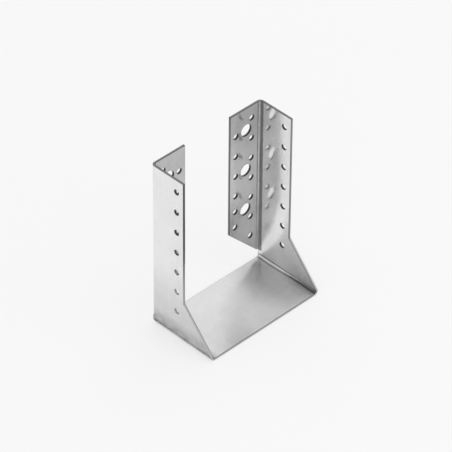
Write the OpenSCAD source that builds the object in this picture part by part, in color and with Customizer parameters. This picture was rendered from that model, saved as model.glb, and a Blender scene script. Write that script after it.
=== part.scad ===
// Hanger for a timber joist, with its header flanges turned inwards behind the joist's end.
// It is one blank of zinc-coated steel sheet, punched flat and then folded four times:
// a seat, two side plates that stand on it, and a flange along the rear edge of each side plate.
// X runs across the joist, +Y along it towards the header, and Z up. The hanger is the same on both sides of X = 0.
// The origin is the middle of the footprint, on the underside of the seat.

/* [Joist] */
// Clear width between the side plates
joist_w = 115; // [80:1:200]
// Height of the side plates above the underside of the seat
hanger_h = 160; // [110:1:240]

/* [Sheet] */
// Thickness of the sheet
sheet_t = 2; // [1.5:0.1:3]
// Inner radius of every fold
fold_r = 2; // [1:0.1:3]

/* [Seat] */
// Depth from the header to the seat's front edge
seat_d = 68; // [54:1:110]
// Gap between the header and the seat's rear edge
seat_gap = 2.7; // [1:0.1:5]

/* [Side plates] */
// Depth from the header to the front edge of a side plate
plate_d = 36; // [30:1:50]
// Height at which that front edge starts to slant forwards to the seat
knee_z = 40; // [15:1:80]
// Gap between the header and the plate's rear edge, below the flange
tail_gap = 1.6; // [0.5:0.1:3]

/* [Header flanges] */
// Width of a flange, from the outer face of its side plate to its free edge
flange_w = 35; // [34:1:39]
// Height of the lower corner of a flange's free edge
foot_z = 41; // [30:1:60]
// Height at which the slanted lower edge reaches the fold, and the side plate's rear edge steps back for it
toe_z = 9; // [8:0.5:16]

/* [Nail holes] */
// Diameter of a nail hole
nail_d = 5; // [3:0.1:6]
// Pitch of the nail holes along each line
nail_pitch = 20; // [16:1:30]
// Drop from a flange's top edge to its first nail hole
flange_nail_drop = 12; // [8:0.5:16]
// Distance of a flange's near nail line from the outer face of its side plate
near_line_w = 11.4; // [9:0.1:12]
// Distance of a flange's far nail line from its free edge
far_line_edge = 6.3; // [4:0.1:7]
// Pitch of the two nail holes above the slanted lower edge
foot_pitch = 16; // [10:1:20]
// Height of the lower of those two above the free edge's lower corner
foot_nail_rise = 5; // [2:0.5:10]
// Drop from a side plate's top edge to its first nail hole
side_nail_drop = 11.6; // [6:0.1:16]
// Distance of a side plate's nail line from its front edge
side_line_edge = 7.25; // [5:0.25:12]

/* [Bolt holes] */
// Diameter of a bolt hole
bolt_d = 11; // [8:0.5:12]
// Distance of the bolt line from the outer face of the side plate
bolt_line_w = 17.4; // [16.5:0.1:18.5]
// Drop from a flange's top edge to its first bolt hole
bolt_drop = 21.5; // [20:0.5:23]

/* [Hidden] */
$fn = 64;
// Outer radius of a fold
bend_r = fold_r + sheet_t;
// Overall width, over the outer faces of the side plates
hanger_w = joist_w + 2 * sheet_t;
// Plane in which both flanges lie against the header
header_y = seat_d / 2;
// Rise of a flange's slanted lower edge for each unit of its width
foot_slope = (foot_z - toe_z) / (flange_w - bend_r);
// Length of a punch, which clears the sheet on both faces
punch_l = 3 * sheet_t;
// Bolt holes stand level with every second nail hole
bolt_pitch = 2 * nail_pitch;
// Distance of a flange's far nail line from the outer face of its side plate
far_line_w = flange_w - far_line_edge;
// Sheet left below the lowest holes: nails and bolts in a flange, nails in a side plate
flange_nail_margin = 9;
bolt_margin = 18;
side_nail_margin = 16;
// Least height between the far line's regular nail holes and the two above the slanted edge
foot_spacing = 12;

// Height of a flange's slanted lower edge at a distance w from the outer face of its side plate
function foot_edge_z(w) = toe_z + (w - bend_r) * foot_slope;

// Heights of a line of holes, from the first one down to the lowest that still has its margin
function line_z(first, lowest, pitch) = [for (z = [first : -pitch : lowest]) z];

near_z = line_z(hanger_h - flange_nail_drop, foot_edge_z(near_line_w) + flange_nail_margin, nail_pitch);
foot_nails_z = [for (i = [0, 1]) foot_z + foot_nail_rise + i * foot_pitch];
far_top_z = line_z(hanger_h - flange_nail_drop - nail_pitch / 2, foot_nails_z[1] + foot_spacing, nail_pitch);
bolt_z = line_z(hanger_h - bolt_drop, foot_edge_z(bolt_line_w) + bolt_margin, bolt_pitch);
side_z = line_z(hanger_h - side_nail_drop, bend_r + side_nail_margin, nail_pitch);

// What stands on the +X side, and its mirror image on the other
module both_sides() {
    children();
    mirror([1, 0, 0]) children();
}

// Upright rectangle on the line y = 0, with its two lower corners rounded
module trough(w, h, r) {
    translate([-w / 2, r]) square([w, h - r]);
    translate([r - w / 2, 0]) square([w - 2 * r, r]);
    both_sides() translate([w / 2 - r, r]) circle(r);
}

// Section across the joist: the seat, its two folds and the side plates
module channel_section() {
    difference() {
        trough(hanger_w, hanger_h, bend_r);
        translate([0, sheet_t]) trough(joist_w, hanger_h, fold_r);
    }
}

// Outline of seat and side plate, seen from the side: the front edge slants down to the seat,
// and the rear edge steps back where the fold to the flange begins
module side_outline() {
    polygon([
        [header_y - seat_gap, 0],
        [header_y - seat_d, 0],
        [header_y - seat_d, bend_r],
        [header_y - plate_d, knee_z],
        [header_y - plate_d, hanger_h],
        [header_y - bend_r, hanger_h],
        [header_y - bend_r, toe_z],
        [header_y - tail_gap, toe_z],
        [header_y - tail_gap, bend_r],
        [header_y - seat_gap, sheet_t]
    ]);
}

// Seat and side plates, cut to their outline
module channel() {
    intersection() {
        rotate([90, 0, 0]) linear_extrude(height = 2 * seat_d, center = true) channel_section();
        rotate([90, 0, 90]) linear_extrude(height = 2 * hanger_w, center = true) side_outline();
    }
}

// Section of one flange seen from above: its flat part and the quarter turn of its fold
module flange_section() {
    translate([hanger_w / 2 - flange_w, header_y - sheet_t]) square([flange_w - bend_r, sheet_t]);
    translate([hanger_w / 2 - bend_r, header_y - bend_r]) intersection() {
        square(bend_r);
        difference() {
            circle(bend_r);
            circle(fold_r);
        }
    }
}

// Outline of one flange seen from the front, with its slanted lower edge
module flange_outline() {
    polygon([
        [hanger_w / 2, hanger_h],
        [hanger_w / 2 - flange_w, hanger_h],
        [hanger_w / 2 - flange_w, foot_z],
        [hanger_w / 2, foot_edge_z(0)]
    ]);
}

// One flange with its fold, cut to its outline
module flange() {
    intersection() {
        linear_extrude(height = hanger_h) flange_section();
        rotate([90, 0, 0]) linear_extrude(height = 2 * seat_d, center = true) flange_outline();
    }
}

// Holes through a flange, on a line at a distance w from the outer face of its side plate
module flange_holes(d, w, heights) {
    for (z = heights)
        translate([hanger_w / 2 - w, header_y - sheet_t / 2, z])
            rotate([90, 0, 0]) cylinder(d = d, h = punch_l, center = true);
}

// Nail holes through a side plate, along its front edge
module side_holes() {
    for (z = side_z)
        translate([(hanger_w - sheet_t) / 2, header_y - plate_d + side_line_edge, z])
            rotate([0, 90, 0]) cylinder(d = nail_d, h = punch_l, center = true);
}

// The punched and folded sheet
module hanger() {
    color([0.74, 0.75, 0.76]) difference() {
        union() {
            channel();
            both_sides() flange();
        }
        both_sides() {
            flange_holes(nail_d, near_line_w, near_z);
            flange_holes(nail_d, far_line_w, concat(far_top_z, foot_nails_z));
            flange_holes(bolt_d, bolt_line_w, bolt_z);
            side_holes();
        }
    }
}

hanger();
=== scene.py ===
# Joist hanger: one blank of zinc-coated steel sheet, punched flat and folded four times, on a white floor.
from math import ceil, cos, hypot, pi, radians, sin

import bmesh
import bpy
from mathutils import Matrix, Vector
from mathutils.geometry import delaunay_2d_cdt


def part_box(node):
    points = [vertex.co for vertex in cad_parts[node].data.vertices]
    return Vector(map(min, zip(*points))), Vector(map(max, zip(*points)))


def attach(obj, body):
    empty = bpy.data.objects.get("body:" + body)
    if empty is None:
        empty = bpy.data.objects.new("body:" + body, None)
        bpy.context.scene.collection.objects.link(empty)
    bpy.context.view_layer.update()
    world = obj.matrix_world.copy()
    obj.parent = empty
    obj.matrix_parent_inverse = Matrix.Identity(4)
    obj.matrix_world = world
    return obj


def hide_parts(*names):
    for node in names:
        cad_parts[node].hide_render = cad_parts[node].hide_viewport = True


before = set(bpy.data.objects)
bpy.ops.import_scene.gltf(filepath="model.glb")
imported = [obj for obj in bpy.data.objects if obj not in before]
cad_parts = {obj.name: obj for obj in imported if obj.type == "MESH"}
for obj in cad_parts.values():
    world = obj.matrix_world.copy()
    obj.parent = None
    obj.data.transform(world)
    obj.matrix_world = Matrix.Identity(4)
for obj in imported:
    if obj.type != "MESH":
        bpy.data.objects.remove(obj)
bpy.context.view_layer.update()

mm = 0.001

# Blank
# One flat blank is sheared from 2 mm steel sheet, zinc-coated in the coil: the seat, a side plate at each
# end of it, and a flange along the rear of each plate. Across is measured from the seat's middle, along is
# the depth in the joist's direction, and the face that will be inside lies at height 0.
sheet = 2 * mm
fold_inside = 2 * mm
fold_outside = fold_inside + sheet
fold_arc = pi / 2 * (fold_inside + sheet / 2)
hanger_low, hanger_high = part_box("hanger")

seat_end = hanger_high.x - fold_outside
plate_foot = seat_end + fold_arc
seat_front = hanger_low.y
seat_gap = 2.7 * mm
plate_depth = 36 * mm
tail_gap = 1.6 * mm
seat_rear = hanger_high.y - seat_gap
plate_front = hanger_high.y - plate_depth
tail_rear = hanger_high.y - tail_gap
flange_start = hanger_high.y - fold_outside
flange_foot = flange_start + fold_arc
relief = 0.5 * mm


def up_plate(height):
    """Place across the blank of what will stand at a height above the footprint."""
    return plate_foot + height - fold_outside


def out_flange(width):
    """Place along the blank of what will lie at a distance from the outer face of its side plate."""
    return flange_foot + width - fold_outside


knee_height = 40 * mm
heel_height = 41 * mm
toe_height = 9 * mm
flange_width = 35 * mm
plate_top = up_plate(hanger_high.z)
knee = up_plate(knee_height)
flange_heel = up_plate(heel_height)
flange_toe = up_plate(toe_height)
flange_edge = out_flange(flange_width)

right_half = [
    (plate_foot, seat_front),
    (knee, plate_front),
    (plate_top, plate_front),
    (plate_top, flange_edge),
    (flange_heel, flange_edge),
    (flange_toe, flange_foot),
    (flange_toe, flange_start),
    (flange_toe - relief, flange_start),
    (flange_toe - relief, tail_rear),
    (plate_foot, tail_rear),
    (seat_end, seat_rear),
]
outline = right_half + [(-across, along) for across, along in reversed(right_half)]

nail_radius = 2.5 * mm
bolt_radius = 5.5 * mm
pitch = 20 * mm
plate_line = plate_front + 7.25 * mm
near_line = out_flange(11.4 * mm)
far_line = out_flange(28.7 * mm)
bolt_line = out_flange(17.4 * mm)
foot_rises = (5 * mm, 21 * mm)


def hole_line(along, drop, step, count):
    """A line of holes at one place along the blank, the first of them at a drop from the top edge."""
    return [(up_plate(hanger_high.z - drop - i * step), along) for i in range(count)]


plate_nails = hole_line(plate_line, drop=11.6 * mm, step=pitch, count=7)
near_nails = hole_line(near_line, drop=12 * mm, step=pitch, count=7)
far_nails = hole_line(far_line, drop=22 * mm, step=pitch, count=4)
foot_nails = [(flange_heel + rise, far_line) for rise in foot_rises]
bolts = hole_line(bolt_line, drop=21.5 * mm, step=2 * pitch, count=3)


def both_ends(places):
    """The same places at both ends of the blank."""
    return places + [(-across, along) for across, along in places]


nail_holes = both_ends(plate_nails + near_nails + far_nails + foot_nails)
bolt_holes = both_ends(bolts)
nail_sides = 40
bolt_sides = 64
punches = (
    (nail_holes, nail_radius, nail_sides),
    (bolt_holes, bolt_radius, bolt_sides),
)

# What the shear leaves, from the inner face to the outer one: a burred rim, the torn part of the wall, its
# burnished part, and the rolled rim on the side where the punch or blade came in. Each step says how far
# back from the cut it lies, and how deep below the inner face.
sheared_edge = [
    (0.26 * mm, 0.00 * mm),
    (0.10 * mm, 0.00 * mm),
    (0.06 * mm, 0.04 * mm),
    (0.04 * mm, 0.60 * mm),
    (0.00 * mm, 1.20 * mm),
    (0.00 * mm, 1.68 * mm),
    (0.03 * mm, 1.84 * mm),
    (0.11 * mm, 1.96 * mm),
    (0.26 * mm, 2.00 * mm),
]
rim = sheared_edge[0][0]
corner_gap = 1.2 * rim

flat_step = 2.6 * mm
fold_step = 0.36 * mm
edge_gap = 0.42 * flat_step


def even_steps(start, end, longest):
    """Evenly spaced values from start to end, no further apart than longest."""
    count = ceil((end - start) / longest)
    return [start + (end - start) * i / count for i in range(count + 1)]


half_across = (
    even_steps(0, seat_end, flat_step)
    + even_steps(seat_end, plate_foot, fold_step)[1:]
    + even_steps(plate_foot, flange_toe, flat_step)[1:]
    + even_steps(flange_toe, plate_top, flat_step)[1:]
)
lines_across = [-value for value in reversed(half_across[1:])] + half_across
lines_along = (
    even_steps(seat_front, plate_front, flat_step)
    + even_steps(plate_front, flange_start, flat_step)[1:]
    + even_steps(flange_start, flange_foot, fold_step)[1:]
    + even_steps(flange_foot, flange_edge, flat_step)[1:]
)


def between(value, a, b):
    """Whether value lies between a and b, in either order, and clear of both."""
    return min(a, b) + corner_gap < value < max(a, b) - corner_gap


def divided_outline(corners):
    """The outline's corners, and where each edge crosses the lines that lie across its longer way."""
    points = []
    for here, there in zip(corners, corners[1:] + corners[:1]):
        way = 0 if abs(there[0] - here[0]) >= abs(there[1] - here[1]) else 1
        lines = lines_across if way == 0 else lines_along
        crossed = [line for line in lines if between(line, here[way], there[way])]
        crossed.sort(reverse=there[way] < here[way])
        points.append(Vector(here))
        for line in crossed:
            share = (line - here[way]) / (there[way] - here[way])
            points.append(Vector(here).lerp(Vector(there), share))
    return points


def inward_mitres(points):
    """For each point of an anticlockwise loop, the step that moves both its edges inwards by one."""
    mitres = []
    for before, here, after in zip(points[-1:] + points[:-1], points, points[1:] + points[:1]):
        edge_in = (here - before).normalized()
        edge_out = (after - here).normalized()
        left_in = Vector((-edge_in.y, edge_in.x))
        left_out = Vector((-edge_out.y, edge_out.x))
        mitres.append((left_in + left_out) / (1 + left_in.dot(left_out)))
    return mitres


def inside(across, along):
    """Whether a place lies inside the blank's outline."""
    found = False
    for (a0, b0), (a1, b1) in zip(outline, outline[1:] + outline[:1]):
        if (b0 > along) != (b1 > along) and across < a0 + (along - b0) / (b1 - b0) * (a1 - a0):
            found = not found
    return found


def clear_of_edges(across, along, gap):
    """Whether a place keeps a gap from the outline and from every hole."""
    place = Vector((across, along))
    for start, end in zip(outline, outline[1:] + outline[:1]):
        edge = Vector(end) - Vector(start)
        share = min(1, max(0, (place - Vector(start)).dot(edge) / edge.length_squared))
        if (place - Vector(start).lerp(Vector(end), share)).length < gap:
            return False
    for holes, radius, _ in punches:
        if any(hypot(across - a, along - b) < radius + rim + gap for a, b in holes):
            return False
    return True


edge_points = divided_outline(outline)
edge_mitres = inward_mitres(edge_points)
flat_points = [point + mitre * rim for point, mitre in zip(edge_points, edge_mitres)]
constraints = [(i, (i + 1) % len(flat_points)) for i in range(len(flat_points))]
border = list(range(len(flat_points)))


def in_mm(value):
    """A length in millimetres, rounded so that equal places compare as equal."""
    return round(value / mm, 3)


at_place = {(in_mm(point.x), in_mm(point.y)): i for i, point in enumerate(edge_points)}

for holes, radius, sides in punches:
    rim_radius = radius + rim
    for across, along in holes:
        first = len(flat_points)
        for i in range(sides):
            turn = 2 * pi * i / sides
            flat_points.append(Vector((across + rim_radius * cos(turn), along + rim_radius * sin(turn))))
        constraints += [(first + i, first + (i + 1) % sides) for i in range(sides)]

# The short tail behind the flange's fold line, below its toe, takes no points between its edges.
for across in lines_across:
    for along in lines_along:
        off_tail = abs(across) > flange_toe - relief or along <= flange_start
        if off_tail and inside(across, along) and clear_of_edges(across, along, edge_gap):
            at_place[(in_mm(across), in_mm(along))] = len(flat_points)
            flat_points.append(Vector((across, along)))


def link_line(fixed, wanted):
    """Ties the points on one fold line to each other, from one border to the other."""
    on_line = sorted((place[1 - fixed], i) for place, i in at_place.items() if wanted(place))
    return [(a[1], b[1]) for a, b in zip(on_line, on_line[1:])]


for line in even_steps(seat_end, plate_foot, fold_step):
    for value in (in_mm(line), in_mm(-line)):
        constraints += link_line(0, lambda place: place[0] == value)
just_below_toe = in_mm(flange_toe - 0.01 * mm)
for line in even_steps(flange_start, flange_foot, fold_step):
    value = in_mm(line)
    for side in (1, -1):
        constraints += link_line(1, lambda place: place[1] == value and side * place[0] > just_below_toe)

inside_only = 1
least_gap = 1e-8
points, _, triangles, *_ = delaunay_2d_cdt(flat_points, constraints, [border], inside_only, least_gap)


def in_hole(triangle):
    """Whether a triangle lies in one of the openings."""
    middle = sum((points[i] for i in triangle), Vector((0, 0))) / 3
    for holes, radius, sides in punches:
        within = (radius + rim) * cos(pi / sides)
        if any(hypot(middle.x - across, middle.y - along) < within for across, along in holes):
            return True
    return False


blank_mesh = bmesh.new()
inner = [blank_mesh.verts.new((p.x, p.y, 0)) for p in points]
outer = [blank_mesh.verts.new((p.x, p.y, -sheet)) for p in points]
for triangle in triangles:
    if not in_hole(triangle):
        blank_mesh.faces.new([inner[i] for i in triangle])
        blank_mesh.faces.new([outer[i] for i in reversed(triangle)])
cut_mark = blank_mesh.faces.layers.bool.new("cut")
rings = []
for back, depth in sheared_edge:
    ring = [point + mitre * back for point, mitre in zip(edge_points, edge_mitres)]
    rings.append([blank_mesh.verts.new((place.x, place.y, -depth)) for place in ring])
for upper, lower in zip(rings, rings[1:]):
    for i in range(len(edge_points)):
        j = (i + 1) % len(edge_points)
        wall = blank_mesh.faces.new((lower[i], lower[j], upper[j], upper[i]))
        wall[cut_mark] = True
weld_gap = 0.002 * mm
bmesh.ops.remove_doubles(blank_mesh, verts=blank_mesh.verts, dist=weld_gap)
loose = [vert for vert in blank_mesh.verts if not vert.link_faces]
bmesh.ops.delete(blank_mesh, geom=loose, context="VERTS")
blank = bpy.data.objects.new("blank", bpy.data.meshes.new("blank"))
blank_mesh.to_mesh(blank.data)
blank_mesh.free()
bpy.context.scene.collection.objects.link(blank)


# Punched holes
# 40 nail holes and 6 bolt holes are punched while the sheet is flat. Every punch leaves the same wall as
# the shear, with a rolled rim outside and a fine burr inside, so one profile is swept round each hole.
def add_node(tree, kind, inputs=None, **settings):
    """Adds a node with its settings, and fills or links its inputs by name or number."""
    node = tree.nodes.new(kind)
    for name, value in settings.items():
        setattr(node, name, value)
    for name, value in (inputs or {}).items():
        if isinstance(value, bpy.types.NodeSocket):
            tree.links.new(value, node.inputs[name])
        else:
            node.inputs[name].default_value = value
    return node


def compute(tree, operation, *values):
    """The result of one Math node."""
    return add_node(tree, "ShaderNodeMath", dict(enumerate(values)), operation=operation).outputs[0]


def new_group(name, kind, takes, gives):
    """An empty node group with named sockets, and its two end nodes."""
    tree = bpy.data.node_groups.new(name, kind)
    for label, socket, value in takes:
        made = tree.interface.new_socket(label, in_out="INPUT", socket_type=socket)
        if value is not None:
            made.default_value = value
    for label, socket in gives:
        tree.interface.new_socket(label, in_out="OUTPUT", socket_type=socket)
    return tree, tree.nodes.new("NodeGroupInput"), tree.nodes.new("NodeGroupOutput")


def place_group(tree, group, inputs):
    """A group's node in another tree, with its inputs filled or linked."""
    kind = "GeometryNodeGroup" if tree.bl_idname == "GeometryNodeTree" else "ShaderNodeGroup"
    return add_node(tree, kind, inputs, node_tree=group)


punched, takes, gives = new_group(
    "punched_holes",
    "GeometryNodeTree",
    [
        ("Centres", "NodeSocketGeometry", None),
        ("Sheared edge", "NodeSocketGeometry", None),
        ("Hole radius", "NodeSocketFloat", nail_radius),
        ("Sides", "NodeSocketInt", nail_sides),
    ],
    [("Walls", "NodeSocketGeometry")],
)
circle = add_node(
    punched, "GeometryNodeCurvePrimitiveCircle",
    {"Resolution": takes.outputs["Sides"], "Radius": takes.outputs["Hole radius"]},
)
wall = add_node(
    punched, "GeometryNodeCurveToMesh",
    {"Curve": circle.outputs["Curve"], "Profile Curve": takes.outputs["Sheared edge"]},
)
facing_hole = add_node(punched, "GeometryNodeFlipFaces", {"Mesh": wall.outputs["Mesh"]})
marked = add_node(
    punched, "GeometryNodeStoreNamedAttribute",
    {"Geometry": facing_hole.outputs["Mesh"], "Name": "cut", "Value": True},
    data_type="BOOLEAN", domain="FACE",
)
walls = add_node(
    punched, "GeometryNodeInstanceOnPoints",
    {"Points": takes.outputs["Centres"], "Instance": marked.outputs["Geometry"]},
)
punched.links.new(walls.outputs["Instances"], gives.inputs["Walls"])


def marked_out(name, places):
    """Punch centres marked out on the blank."""
    mesh = bpy.data.meshes.new(name)
    mesh.from_pydata([(across, along, 0) for across, along in places], [], [])
    made = bpy.data.objects.new(name, mesh)
    bpy.context.scene.collection.objects.link(made)
    return made


nail_centres = marked_out("nail_centres", nail_holes)
bolt_centres = marked_out("bolt_centres", bolt_holes)

edge_curve = bpy.data.curves.new("sheared_edge", "CURVE")
edge_curve.dimensions = "3D"
edge_line = edge_curve.splines.new("POLY")
edge_line.points.add(len(sheared_edge) - 1)
for point, (back, depth) in zip(edge_line.points, sheared_edge):
    point.co = (back, depth, 0, 1)
edge_profile = bpy.data.objects.new("sheared_edge", edge_curve)
bpy.context.scene.collection.objects.link(edge_profile)

# Zinc finish
# The coil is hot-dip coated with a fine, cloudy zinc layer that shows the rolling direction. Handling
# dulls it;
# painted light and shade change its tone, darkest at the folds. Every tone follows its place on the flat
# blank.
clouded, takes, gives = new_group(
    "zinc_clouding",
    "ShaderNodeTree",
    [
        ("Place", "NodeSocketVector", None),
        ("Cloud size", "NodeSocketFloat", 30 * mm),
        ("Streak width", "NodeSocketFloat", 4 * mm),
        ("Grain size", "NodeSocketFloat", 7 * mm),
    ],
    [("Cloud", "NodeSocketFloat"), ("Streak", "NodeSocketFloat"), ("Grain", "NodeSocketFloat")],
)


def scaled_place(tree, place, sizes):
    """A place measured in units of a size for each axis."""
    ratio = add_node(tree, "ShaderNodeVectorMath", {0: place, 1: sizes}, operation="DIVIDE")
    return ratio.outputs["Vector"]


def same_each_way(tree, size):
    """One size along all three axes."""
    return add_node(tree, "ShaderNodeCombineXYZ", {axis: size for axis in range(3)}).outputs["Vector"]


cloud = add_node(
    clouded, "ShaderNodeTexNoise",
    {
        "Vector": scaled_place(
            clouded, takes.outputs["Place"], same_each_way(clouded, takes.outputs["Cloud size"])
        ),
        "Scale": 1.0, "Detail": 3.0, "Roughness": 0.55,
    },
)
streak_stretch = 14.0
streak_long = compute(clouded, "MULTIPLY", takes.outputs["Streak width"], streak_stretch)
streak_size = add_node(
    clouded, "ShaderNodeCombineXYZ",
    {"X": streak_long, "Y": takes.outputs["Streak width"], "Z": streak_long},
)
streak = add_node(
    clouded, "ShaderNodeTexNoise",
    {
        "Vector": scaled_place(clouded, takes.outputs["Place"], streak_size.outputs["Vector"]),
        "Scale": 1.0, "Detail": 2.0, "Roughness": 0.6,
    },
)
grain = add_node(
    clouded, "ShaderNodeTexVoronoi",
    {
        "Vector": scaled_place(
            clouded, takes.outputs["Place"], same_each_way(clouded, takes.outputs["Grain size"])
        ),
        "Scale": 1.0, "Randomness": 1.0,
    },
)
grain_tone = add_node(clouded, "ShaderNodeSeparateColor", {"Color": grain.outputs["Color"]})
clouded.links.new(cloud.outputs["Fac"], gives.inputs["Cloud"])
clouded.links.new(streak.outputs["Fac"], gives.inputs["Streak"])
clouded.links.new(grain_tone.outputs["Red"], gives.inputs["Grain"])


def new_finish(name):
    """A material's tree, its Principled BSDF and the place on the flat blank."""
    finish = bpy.data.materials.new(name)
    finish.use_nodes = True
    tree = finish.node_tree
    shader = next(node for node in tree.nodes if node.bl_idname == "ShaderNodeBsdfPrincipled")
    place = add_node(tree, "ShaderNodeAttribute", {}, attribute_name="blank_place").outputs["Vector"]
    return finish, tree, shader, place


def around_middle(tree, value, middle, swing):
    """A value that swings about its middle as a texture goes from 0 to 1."""
    return compute(tree, "MULTIPLY_ADD", value, 2 * swing, middle - swing)


def added(tree, base, gain, amount):
    """A base plus the share of a gain that an amount from 0 to 1 brings in."""
    return compute(tree, "MULTIPLY_ADD", amount, gain, base)


def product(tree, *factors):
    """The product of all the factors."""
    result = factors[0]
    for factor in factors[1:]:
        result = compute(tree, "MULTIPLY", result, factor)
    return result


def fade(tree, value, start, end):
    """0 up to start and 1 past end, with a smooth step between them; start may lie past end."""
    step = add_node(
        tree, "ShaderNodeMapRange", {"Value": value, "From Min": start, "From Max": end},
        interpolation_type="SMOOTHSTEP",
    )
    return step.outputs["Result"]


def band(tree, value, middle, half_width, soft):
    """1 where a value is within half_width of the middle, fading to 0 over soft beyond it."""
    off = compute(tree, "ABSOLUTE", compute(tree, "SUBTRACT", value, middle))
    return fade(tree, off, half_width + soft, half_width)


def noise(tree, place, sizes, detail):
    """A cloudy texture from 0 to 1, with a size of its clouds for each axis."""
    node = add_node(
        tree, "ShaderNodeTexNoise",
        {"Vector": scaled_place(tree, place, sizes), "Scale": 1.0, "Detail": detail},
    )
    return node.outputs["Fac"]


def grey(tree, tone):
    """A neutral colour of a tone."""
    return add_node(tree, "ShaderNodeCombineColor", {0: tone, 1: tone, 2: tone}).outputs["Color"]


metallic = 0.94
zinc, tree, shader, place = new_finish("zinc_coat")
bloom = place_group(tree, clouded, {"Place": place, "Cloud size": 26 * mm})
split = add_node(tree, "ShaderNodeSeparateXYZ", {"Vector": place})
blank_x, blank_y, blank_z = (split.outputs[axis] for axis in "XYZ")
from_middle = compute(tree, "ABSOLUTE", blank_x)
outer_face = compute(tree, "LESS_THAN", blank_z, -sheet / 2)
inner_face = compute(tree, "SUBTRACT", 1.0, outer_face)
on_plate = fade(tree, from_middle, start=seat_end, end=plate_foot)
on_seat = compute(tree, "SUBTRACT", 1.0, on_plate)
past_toe = compute(tree, "GREATER_THAN", from_middle, flange_toe - relief)
past_fold = fade(tree, blank_y, start=flange_start + fold_arc / 2, end=flange_foot)
on_flange = product(tree, past_toe, past_fold)
near_front = fade(tree, blank_y, start=20 * mm, end=6 * mm)

# Inside, painted light gives the seat a lighter patch with an uneven edge, painted shade a darker right
# end.
# Painted light makes the plates lighter than the seat, most of all near their front.
seat_grey = 0.73
patch_light_gain = 0.20
right_end_shade_loss = 0.12
plate_rear_light_gain = 0.10
plate_front_light_gain = 0.09
patch_middle = (8 * mm, -14 * mm, 0.0)
patch_reach = 46 * mm
patch_straying = 26 * mm
from_patch = add_node(tree, "ShaderNodeVectorMath", {0: place, 1: patch_middle}, operation="DISTANCE")
patch_edge = around_middle(tree, bloom.outputs["Cloud"], 0.0, patch_straying)
strayed_from_patch = compute(tree, "ADD", from_patch.outputs["Value"], patch_edge)
on_light_patch = fade(tree, strayed_from_patch, start=patch_reach, end=0.0)
# Painted shade on the seat's right end.
painted_right_end_shade = product(tree, fade(tree, blank_x, start=12 * mm, end=40 * mm), on_seat)
seat_tone = added(tree, seat_grey, patch_light_gain, on_light_patch)
seat_tone = added(tree, seat_tone, -right_end_shade_loss, painted_right_end_shade)
# Painted light on the plates, the most near their front.
plate_light_gain = added(tree, plate_rear_light_gain, plate_front_light_gain, near_front)
inner_tone = added(tree, seat_tone, plate_light_gain, on_plate)

# Painted shade darkens the flanges, the right one more and their tops most; painted light lifts their
# feet.
flange_shade_loss = 0.23
right_flange_shade_loss = 0.06
flange_top_shade_loss = 0.11
flange_foot_light_gain = 0.13
to_right = fade(tree, blank_x, start=-plate_foot, end=plate_foot)
painted_flange_top_shade = fade(tree, from_middle, start=plate_top - 55 * mm, end=plate_top - 15 * mm)
near_flange_foot = fade(tree, from_middle, start=up_plate(58 * mm), end=up_plate(34 * mm))
# Painted shade on the flanges, painted light near their feet.
flange_shade_and_light = added(tree, -flange_shade_loss, -right_flange_shade_loss, to_right)
flange_shade_and_light = added(tree, flange_shade_and_light, -flange_top_shade_loss, painted_flange_top_shade)
flange_shade_and_light = added(tree, flange_shade_and_light, flange_foot_light_gain, near_flange_foot)
inner_tone = added(tree, inner_tone, flange_shade_and_light, on_flange)

# Outside, painted shade darkens the plates towards their feet. The coat's clouds, streaks and grain lie
# over all.
outer_grey = 0.85
outer_foot_shade_loss = 0.17
cloud_swing = 0.05
streak_swing = 0.03
grain_swing = 0.010
near_plate_foot = fade(tree, from_middle, start=up_plate(80 * mm), end=up_plate(15 * mm))
outer_tone = added(tree, outer_grey, -outer_foot_shade_loss, near_plate_foot)
tone = added(tree, inner_tone, compute(tree, "SUBTRACT", outer_tone, inner_tone), outer_face)
for texture, swing in (("Cloud", cloud_swing), ("Streak", streak_swing), ("Grain", grain_swing)):
    tone = compute(tree, "ADD", tone, around_middle(tree, bloom.outputs[texture], 0.0, swing))

# Inside, painted shade lies in dark lines along the folds: one at the plate's side of the seat's folds,
# one at their seat's side that shows towards the rear, and a broad one over the flanges' folds.
fold_shade_loss = 0.62
line_straying = 0.7 * mm
crease_mottle = noise(tree, place, (5 * mm, 9 * mm, 9 * mm), detail=3.0)
wobble = noise(tree, place, (2.5 * mm, 2.5 * mm, 2.5 * mm), detail=2.0)
strayed = around_middle(tree, wobble, 0.0, line_straying)
strayed_across = compute(tree, "ADD", from_middle, strayed)
strayed_along = compute(tree, "ADD", blank_y, strayed)
to_rear = fade(tree, blank_y, start=-14 * mm, end=16 * mm)
seat_line = band(tree, from_middle, middle=seat_end - 0.1 * mm, half_width=0.3 * mm, soft=0.5 * mm)
foot_line = band(tree, strayed_across, middle=plate_foot - 0.2 * mm, half_width=0.35 * mm, soft=0.5 * mm)
flange_line = band(tree, strayed_along, middle=flange_start + 0.9 * mm, half_width=2.1 * mm, soft=0.9 * mm)
# Painted shade in the creases of the seat's and flanges' folds.
seat_fold_shade = compute(tree, "MAXIMUM", product(tree, to_rear, seat_line), foot_line)
flange_fold_shade = product(tree, past_toe, flange_line)
painted_fold_shade = product(tree, inner_face, compute(tree, "MAXIMUM", seat_fold_shade, flange_fold_shade))

# Outside, painted shade lies in an uneven line along the plates' feet, with mottled shade around it.
foot_crease_shade_loss = 0.66
crease_line_gain = 1.1
crease_shade_line = band(tree, strayed_across, middle=plate_foot + 0.9 * mm, half_width=0.3 * mm, soft=0.6 * mm)
around_foot = band(tree, from_middle, middle=plate_foot, half_width=3 * mm, soft=14 * mm)
# Painted shade at the outer crease of the plates' feet.
painted_crease_shade = added(
    tree, product(tree, around_foot, crease_mottle), compute(tree, "MULTIPLY", wobble, crease_line_gain), crease_shade_line
)
painted_crease_shade = product(tree, outer_face, painted_crease_shade)

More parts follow.
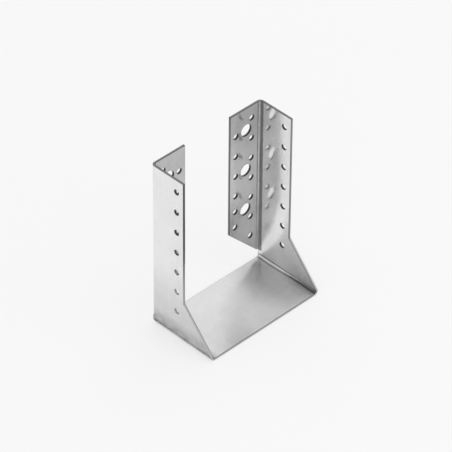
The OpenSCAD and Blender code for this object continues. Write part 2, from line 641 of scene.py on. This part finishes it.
# Painted shade darkens the inside of the seat's folds towards their front ends.
shade_loss = 0.38
to_fold_end = fade(tree, blank_y, start=plate_front + 14 * mm, end=seat_front)
shaded = product(
    tree, inner_face, to_fold_end,
    fade(tree, from_middle, start=seat_end - 6 * mm, end=seat_end + 2 * mm),
    fade(tree, from_middle, start=plate_foot + 22 * mm, end=plate_foot + 1 * mm),
)
# Each painted shade takes its share off the tone.
for loss, marked in ((fold_shade_loss, painted_fold_shade), (shade_loss, shaded), (foot_crease_shade_loss, painted_crease_shade)):
    tone = product(tree, tone, added(tree, 1.0, -loss, marked))
tree.links.new(grey(tree, tone), shader.inputs["Base Color"])

# Matt crystals lie in a glossier ground. The seat is more matt, most of all on its patch, and so are the
# plates where they are handled, near their front and feet.
ground_roughness = 0.11
crystal_gain = 0.30
dulling_swing = 0.03
seat_gain = 0.15
matt_patch_gain = 0.18
handled_gain = 0.14
crystals = noise(tree, place, (0.3 * mm, 0.3 * mm, 0.3 * mm), detail=1.0)
crystal_share = fade(tree, crystals, start=0.53, end=0.66)
roughness = added(tree, ground_roughness, crystal_gain, crystal_share)
dulling = around_middle(tree, bloom.outputs["Cloud"], 0.0, dulling_swing)
roughness = compute(tree, "ADD", roughness, dulling)
roughness = added(tree, roughness, added(tree, seat_gain, matt_patch_gain, on_light_patch), on_seat)
near_foot = fade(tree, from_middle, start=up_plate(66 * mm), end=up_plate(44 * mm))
handled = product(tree, compute(tree, "MAXIMUM", near_front, near_foot), on_plate)
roughness = added(tree, roughness, handled_gain, handled)
tree.links.new(roughness, shader.inputs["Roughness"])
shader.inputs["Metallic"].default_value = metallic

# The bump holds shallow dents, the flanges' slight spring back, and the plates' slight flare towards the
# front.
outer_dent_depth = 0.12 * mm
inner_dent_gain = 0.10 * mm
spring_back_slope = 0.055
flare_curve = 2.8
flare_start = flange_start - 10 * mm
dents = noise(tree, place, (13 * mm, 13 * mm, 13 * mm), detail=2.5)
outward = added(tree, -1.0, 2.0, outer_face)
up_flange = compute(tree, "MAXIMUM", compute(tree, "SUBTRACT", blank_y, flange_start), 0.0)
to_front = compute(tree, "MAXIMUM", compute(tree, "SUBTRACT", flare_start, blank_y), 0.0)
spring_back = product(tree, past_toe, up_flange, outward, spring_back_slope)
flare = product(tree, to_front, to_front, outward, on_plate)
dent_depth = added(tree, outer_dent_depth, inner_dent_gain, inner_face)
relief_height = added(tree, spring_back, dent_depth, dents)
relief_height = added(tree, relief_height, flare_curve, flare)
waves = add_node(tree, "ShaderNodeBump", {"Height": relief_height, "Strength": 1.0, "Distance": 1.0})
tree.links.new(waves.outputs["Normal"], shader.inputs["Normal"])

# Cut steel
# Blade and punch cut through the coat, so the edges and hole walls are bare, torn steel. Painted light
# lightens them, the most on the seat's front and the slanted edges, and the least on the upper left plate.
steel_grey = 0.07
tear_swing = 0.04
edge_light_gain = 0.45
front_edge_light = 0.85
slant_edge_light = 0.15
end_edge_light = 0.3
plate_edge_light = 0.5
left_edge_light = 0.85
rim_share = 0.35
edge_width = 0.5 * mm
cut_steel, tree, shader, place = new_finish("cut_steel")
split = add_node(tree, "ShaderNodeSeparateXYZ", {"Vector": place})
blank_x, blank_y, blank_z = (split.outputs[axis] for axis in "XYZ")
from_middle = compute(tree, "ABSOLUTE", blank_x)
tears = noise(tree, place, (0.5 * mm, 0.5 * mm, 3 * mm), detail=2.0)
front_cut = compute(tree, "LESS_THAN", blank_y, plate_front - 0.3 * mm)
slanted_cut = compute(tree, "GREATER_THAN", from_middle, plate_foot)
top_cut = compute(tree, "GREATER_THAN", from_middle, plate_top - edge_width)
free_cut = compute(tree, "GREATER_THAN", blank_y, flange_edge - edge_width)
plate_cut = compute(tree, "LESS_THAN", blank_y, plate_front + edge_width)
left_cut = compute(tree, "LESS_THAN", blank_x, -plate_foot)
past_upper_left = fade(tree, blank_x, start=-up_plate(100 * mm), end=-up_plate(40 * mm))
past_burr = fade(tree, blank_z, start=-0.2 * mm, end=-0.5 * mm)
rolled_rim = fade(tree, blank_z, start=-1.6 * mm, end=-1.9 * mm)
# Painted light on the cut edges: the seat's front and slants, the ends, and the plates' front edges.
painted_edge_light = product(tree, front_cut, added(tree, front_edge_light, slant_edge_light, slanted_cut))
for cut, share in (
    (compute(tree, "MAXIMUM", top_cut, free_cut), end_edge_light),
    (product(tree, plate_cut, past_upper_left), plate_edge_light),
    (product(tree, left_cut, past_upper_left), left_edge_light),
):
    painted_edge_light = compute(tree, "MAXIMUM", painted_edge_light, compute(tree, "MULTIPLY", cut, share))
# The rolled rims keep some zinc; the rest of the lightening is painted light.
rim_zinc = compute(tree, "MULTIPLY", rolled_rim, rim_share)
rim_zinc_and_edge_light = compute(tree, "MAXIMUM", product(tree, painted_edge_light, past_burr), rim_zinc)
tone = added(tree, around_middle(tree, tears, steel_grey, tear_swing), edge_light_gain, rim_zinc_and_edge_light)
tree.links.new(grey(tree, tone), shader.inputs["Base Color"])
shader.inputs["Roughness"].default_value = 0.42
shader.inputs["Metallic"].default_value = metallic

# Folds
# The press brake folds the blank up four times by a right angle: first each flange along its side plate,
# then each side plate along the seat. A fold keeps the length of the sheet's middle layer.
brake, takes, gives = new_group(
    "brake_fold",
    "GeometryNodeTree",
    [
        ("Past the line", "NodeSocketFloat", 0.0),
        ("Height", "NodeSocketFloat", 0.0),
        ("Inside radius", "NodeSocketFloat", fold_inside),
        ("Sheet thickness", "NodeSocketFloat", sheet),
        ("Angle", "NodeSocketFloat", pi / 2),
    ],
    [("Past the line", "NodeSocketFloat"), ("Height", "NodeSocketFloat")],
)
past, height, radius, thick, angle = [takes.outputs[i] for i in range(5)]
middle_radius = compute(brake, "MULTIPLY_ADD", thick, 0.5, radius)
full_turn = compute(brake, "DIVIDE", past, middle_radius)
turn = compute(brake, "MINIMUM", compute(brake, "MAXIMUM", full_turn, 0.0), angle)
straight = compute(brake, "SUBTRACT", past, compute(brake, "MULTIPLY", turn, middle_radius))
reach = compute(brake, "SUBTRACT", radius, height)
sine = compute(brake, "SINE", turn)
cosine = compute(brake, "COSINE", turn)
new_past = compute(brake, "MULTIPLY_ADD", reach, sine, compute(brake, "MULTIPLY", straight, cosine))
risen = compute(brake, "MULTIPLY_ADD", straight, sine, radius)
new_height = compute(brake, "SUBTRACT", risen, compute(brake, "MULTIPLY", reach, cosine))
brake.links.new(new_past, gives.inputs["Past the line"])
brake.links.new(new_height, gives.inputs["Height"])

press, takes, gives = new_group(
    "punch_and_fold",
    "GeometryNodeTree",
    [
        ("Blank", "NodeSocketGeometry", None),
        ("Nail centres", "NodeSocketObject", None),
        ("Bolt centres", "NodeSocketObject", None),
        ("Sheared edge", "NodeSocketObject", None),
        ("Nail hole radius", "NodeSocketFloat", nail_radius),
        ("Bolt hole radius", "NodeSocketFloat", bolt_radius),
        ("Sheet thickness", "NodeSocketFloat", sheet),
        ("Inside radius", "NodeSocketFloat", fold_inside),
        ("Seat end", "NodeSocketFloat", seat_end),
        ("Flange start", "NodeSocketFloat", flange_start),
        ("Flange toe", "NodeSocketFloat", flange_toe - relief / 2),
        ("Unevenness", "NodeSocketFloat", 0.08 * mm),
        ("Uneven stretch", "NodeSocketFloat", 34 * mm),
        ("Zinc coat", "NodeSocketMaterial", None),
        ("Cut steel", "NodeSocketMaterial", None),
    ],
    [("Hanger", "NodeSocketGeometry")],
)
given = takes.outputs
profile = add_node(press, "GeometryNodeObjectInfo", {"Object": given["Sheared edge"]})
sheets = [given["Blank"]]
for centres, radius_name, sides in (
    ("Nail centres", "Nail hole radius", nail_sides),
    ("Bolt centres", "Bolt hole radius", bolt_sides),
):
    marks = add_node(press, "GeometryNodeObjectInfo", {"Object": given[centres]})
    holes = place_group(press, punched, {
        "Centres": marks.outputs["Geometry"],
        "Sheared edge": profile.outputs["Geometry"],
        "Hole radius": given[radius_name],
        "Sides": sides,
    })
    sheets.append(holes.outputs["Walls"])
joined = press.nodes.new("GeometryNodeJoinGeometry")
for part in sheets:
    press.links.new(part, joined.inputs["Geometry"])
whole = add_node(press, "GeometryNodeRealizeInstances", {"Geometry": joined.outputs["Geometry"]})
hole_weld_gap = 0.003 * mm
welded = add_node(
    press, "GeometryNodeMergeByDistance",
    {"Geometry": whole.outputs["Geometry"], "Distance": hole_weld_gap},
)
flat_place = add_node(press, "GeometryNodeInputPosition")
kept = add_node(
    press, "GeometryNodeStoreNamedAttribute",
    {
        "Geometry": welded.outputs["Geometry"],
        "Name": "blank_place",
        "Value": flat_place.outputs["Position"],
    },
    data_type="FLOAT_VECTOR", domain="POINT",
)
place = add_node(press, "ShaderNodeSeparateXYZ", {"Vector": flat_place.outputs["Position"]})
above = add_node(press, "ShaderNodeCombineXYZ", {"X": place.outputs["X"], "Y": place.outputs["Y"]})
stretch = same_each_way(press, given["Uneven stretch"])
swell = add_node(
    press, "ShaderNodeTexNoise",
    {
        "Vector": scaled_place(press, above.outputs["Vector"], stretch),
        "Scale": 1.0, "Detail": 1.0, "Roughness": 0.4,
    },
)
height = compute(press, "MULTIPLY_ADD", swell.outputs["Fac"], given["Unevenness"], place.outputs["Z"])
from_middle = compute(press, "ABSOLUTE", place.outputs["X"])
past_toe = compute(press, "GREATER_THAN", from_middle, given["Flange toe"])
flange_fold = place_group(press, brake, {
    "Past the line": compute(press, "SUBTRACT", place.outputs["Y"], given["Flange start"]),
    "Height": height,
    "Inside radius": given["Inside radius"],
    "Sheet thickness": given["Sheet thickness"],
    "Angle": compute(press, "MULTIPLY", past_toe, pi / 2),
})
seat_fold = place_group(press, brake, {
    "Past the line": compute(press, "SUBTRACT", from_middle, given["Seat end"]),
    "Height": flange_fold.outputs["Height"],
    "Inside radius": given["Inside radius"],
    "Sheet thickness": given["Sheet thickness"],
    "Angle": pi / 2,
})
side = compute(press, "SIGN", place.outputs["X"])
folded_out = compute(press, "ADD", seat_fold.outputs["Past the line"], given["Seat end"])
folded_place = add_node(press, "ShaderNodeCombineXYZ", {
    "X": compute(press, "MULTIPLY", side, folded_out),
    "Y": compute(press, "ADD", flange_fold.outputs["Past the line"], given["Flange start"]),
    "Z": compute(press, "ADD", seat_fold.outputs["Height"], given["Sheet thickness"]),
})
folded = add_node(
    press, "GeometryNodeSetPosition",
    {"Geometry": kept.outputs["Geometry"], "Position": folded_place.outputs["Vector"]},
)
smooth = add_node(
    press, "GeometryNodeSetShadeSmooth",
    {"Geometry": folded.outputs["Geometry"], "Shade Smooth": True},
)
coated = add_node(
    press, "GeometryNodeSetMaterial",
    {"Geometry": smooth.outputs["Geometry"], "Material": given["Zinc coat"]},
)
cut_faces = add_node(press, "GeometryNodeInputNamedAttribute", {"Name": "cut"}, data_type="BOOLEAN")
finished = add_node(
    press, "GeometryNodeSetMaterial",
    {
        "Geometry": coated.outputs["Geometry"],
        "Selection": cut_faces.outputs["Attribute"],
        "Material": given["Cut steel"],
    },
)
press.links.new(finished.outputs["Geometry"], gives.inputs["Hanger"])

fold_up = blank.modifiers.new("punch_and_fold", "NODES")
fold_up.node_group = press
settings = {
    "Nail centres": nail_centres,
    "Bolt centres": bolt_centres,
    "Sheared edge": edge_profile,
    "Zinc coat": zinc,
    "Cut steel": cut_steel,
}
for socket in press.interface.items_tree:
    if socket.in_out == "INPUT" and socket.name in settings:
        fold_up[socket.identifier] = settings[socket.name]
even_shade = blank.modifiers.new("even_shade", "WEIGHTED_NORMAL")
even_shade.keep_sharp = True

graph = bpy.context.evaluated_depsgraph_get()
folded_mesh = bpy.data.meshes.new_from_object(
    blank.evaluated_get(graph), preserve_all_data_layers=True, depsgraph=graph
)
hanger = bpy.data.objects.new("folded_sheet", folded_mesh)
bpy.context.scene.collection.objects.link(hanger)
for helper in (blank, nail_centres, bolt_centres, edge_profile):
    bpy.data.objects.remove(helper)
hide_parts("hanger")
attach(hanger, "root")

# Studio
# A plain white floor that runs out of sight, a plain pale room, large soft lamps, and the camera at the
# photograph's angle.
floor_reach = 40.0
floor_corners = [
    (-floor_reach, -floor_reach, 0),
    (floor_reach, -floor_reach, 0),
    (floor_reach, floor_reach, 0),
    (-floor_reach, floor_reach, 0),
]
floor_mesh = bpy.data.meshes.new("floor")
floor_mesh.from_pydata(floor_corners, [], [(0, 1, 2, 3)])
floor = bpy.data.objects.new("floor", floor_mesh)
bpy.context.scene.collection.objects.link(floor)


def seen_directly(tree):
    """1 for rays from the camera, in reflections and through glass, else 0."""
    path = tree.nodes.new("ShaderNodeLightPath")
    seen = compute(tree, "MAXIMUM", path.outputs["Is Camera Ray"], path.outputs["Is Glossy Ray"])
    return compute(tree, "MAXIMUM", seen, path.outputs["Is Transmission Ray"])


floor_white = (0.92, 0.92, 0.92, 1)
glow_share = 0.62
floor_paint = bpy.data.materials.new("floor_paint")
floor_paint.use_nodes = True
tree = floor_paint.node_tree
tree.nodes.clear()
matt = add_node(tree, "ShaderNodeBsdfDiffuse", {"Color": floor_white})
glow = add_node(tree, "ShaderNodeEmission", {"Color": (1, 1, 1, 1), "Strength": 1.0})
lifted = add_node(tree, "ShaderNodeMixShader", {
    0: compute(tree, "MULTIPLY", seen_directly(tree), glow_share),
    1: matt.outputs[0],
    2: glow.outputs[0],
})
add_node(tree, "ShaderNodeOutputMaterial", {"Surface": lifted.outputs[0]})
floor_mesh.materials.append(floor_paint)

room_white = (0.67, 0.67, 0.67, 1)
world = bpy.data.worlds.new("studio")
bpy.context.scene.world = world
world.use_nodes = True
tree = world.node_tree
tree.nodes.clear()
room = add_node(tree, "ShaderNodeBackground", {"Color": room_white, "Strength": 1.0})
add_node(tree, "ShaderNodeOutputWorld", {"Surface": room.outputs[0]})

hanger_middle = Vector((0, 0, hanger_high.z / 2))
lamp_distance = 1.6


def direction(azimuth, elevation):
    """A direction: azimuth 0 points behind the hanger, and a quarter turn points to its right."""
    return Vector((sin(azimuth) * cos(elevation), cos(azimuth) * cos(elevation), sin(elevation)))


def softbox(name, azimuth, elevation, width, length, radiance):
    """A rectangular soft lamp that faces the hanger's middle, with an even radiance over its face."""
    lamp = bpy.data.lights.new(name, "AREA")
    lamp.shape = "RECTANGLE"
    lamp.size = width
    lamp.size_y = length
    lamp.energy = radiance * pi * width * length
    outwards = direction(radians(azimuth), radians(elevation))
    made = bpy.data.objects.new(name, lamp)
    made.location = hanger_middle + lamp_distance * outwards
    made.rotation_euler = (-outwards).to_track_quat("-Z", "Y").to_euler()
    made.visible_camera = False
    bpy.context.scene.collection.objects.link(made)


softbox("front_lamp", azimuth=198, elevation=42, width=3.0, length=1.6, radiance=0.50)
softbox("back_lamp", azimuth=50, elevation=42, width=1.6, length=1.3, radiance=0.36)
softbox("top_lamp", azimuth=100, elevation=80, width=1.8, length=1.8, radiance=0.36)

aim = Vector((-4.14, 7.01, 82.51)) * mm
distance = 2896.0 * mm
facing = radians(44.709)
downwards = radians(39.493)
tilt = radians(0.451)
forward = direction(facing, -downwards)
level = forward.cross(Vector((0, 0, 1))).normalized()
right = level * cos(tilt) + level.cross(forward) * sin(tilt)
up = right.cross(forward)
turned = Matrix((right, up, -forward)).transposed().to_4x4()
camera = bpy.data.objects.new("camera", bpy.data.cameras.new("camera"))
camera.data.lens = 294.21
camera.data.sensor_width = 36
camera.data.clip_end = 100
camera.matrix_world = Matrix.Translation(aim - forward * distance) @ turned
bpy.context.scene.collection.objects.link(camera)
bpy.context.scene.camera = camera
bpy.context.scene.view_settings.view_transform = "Standard"
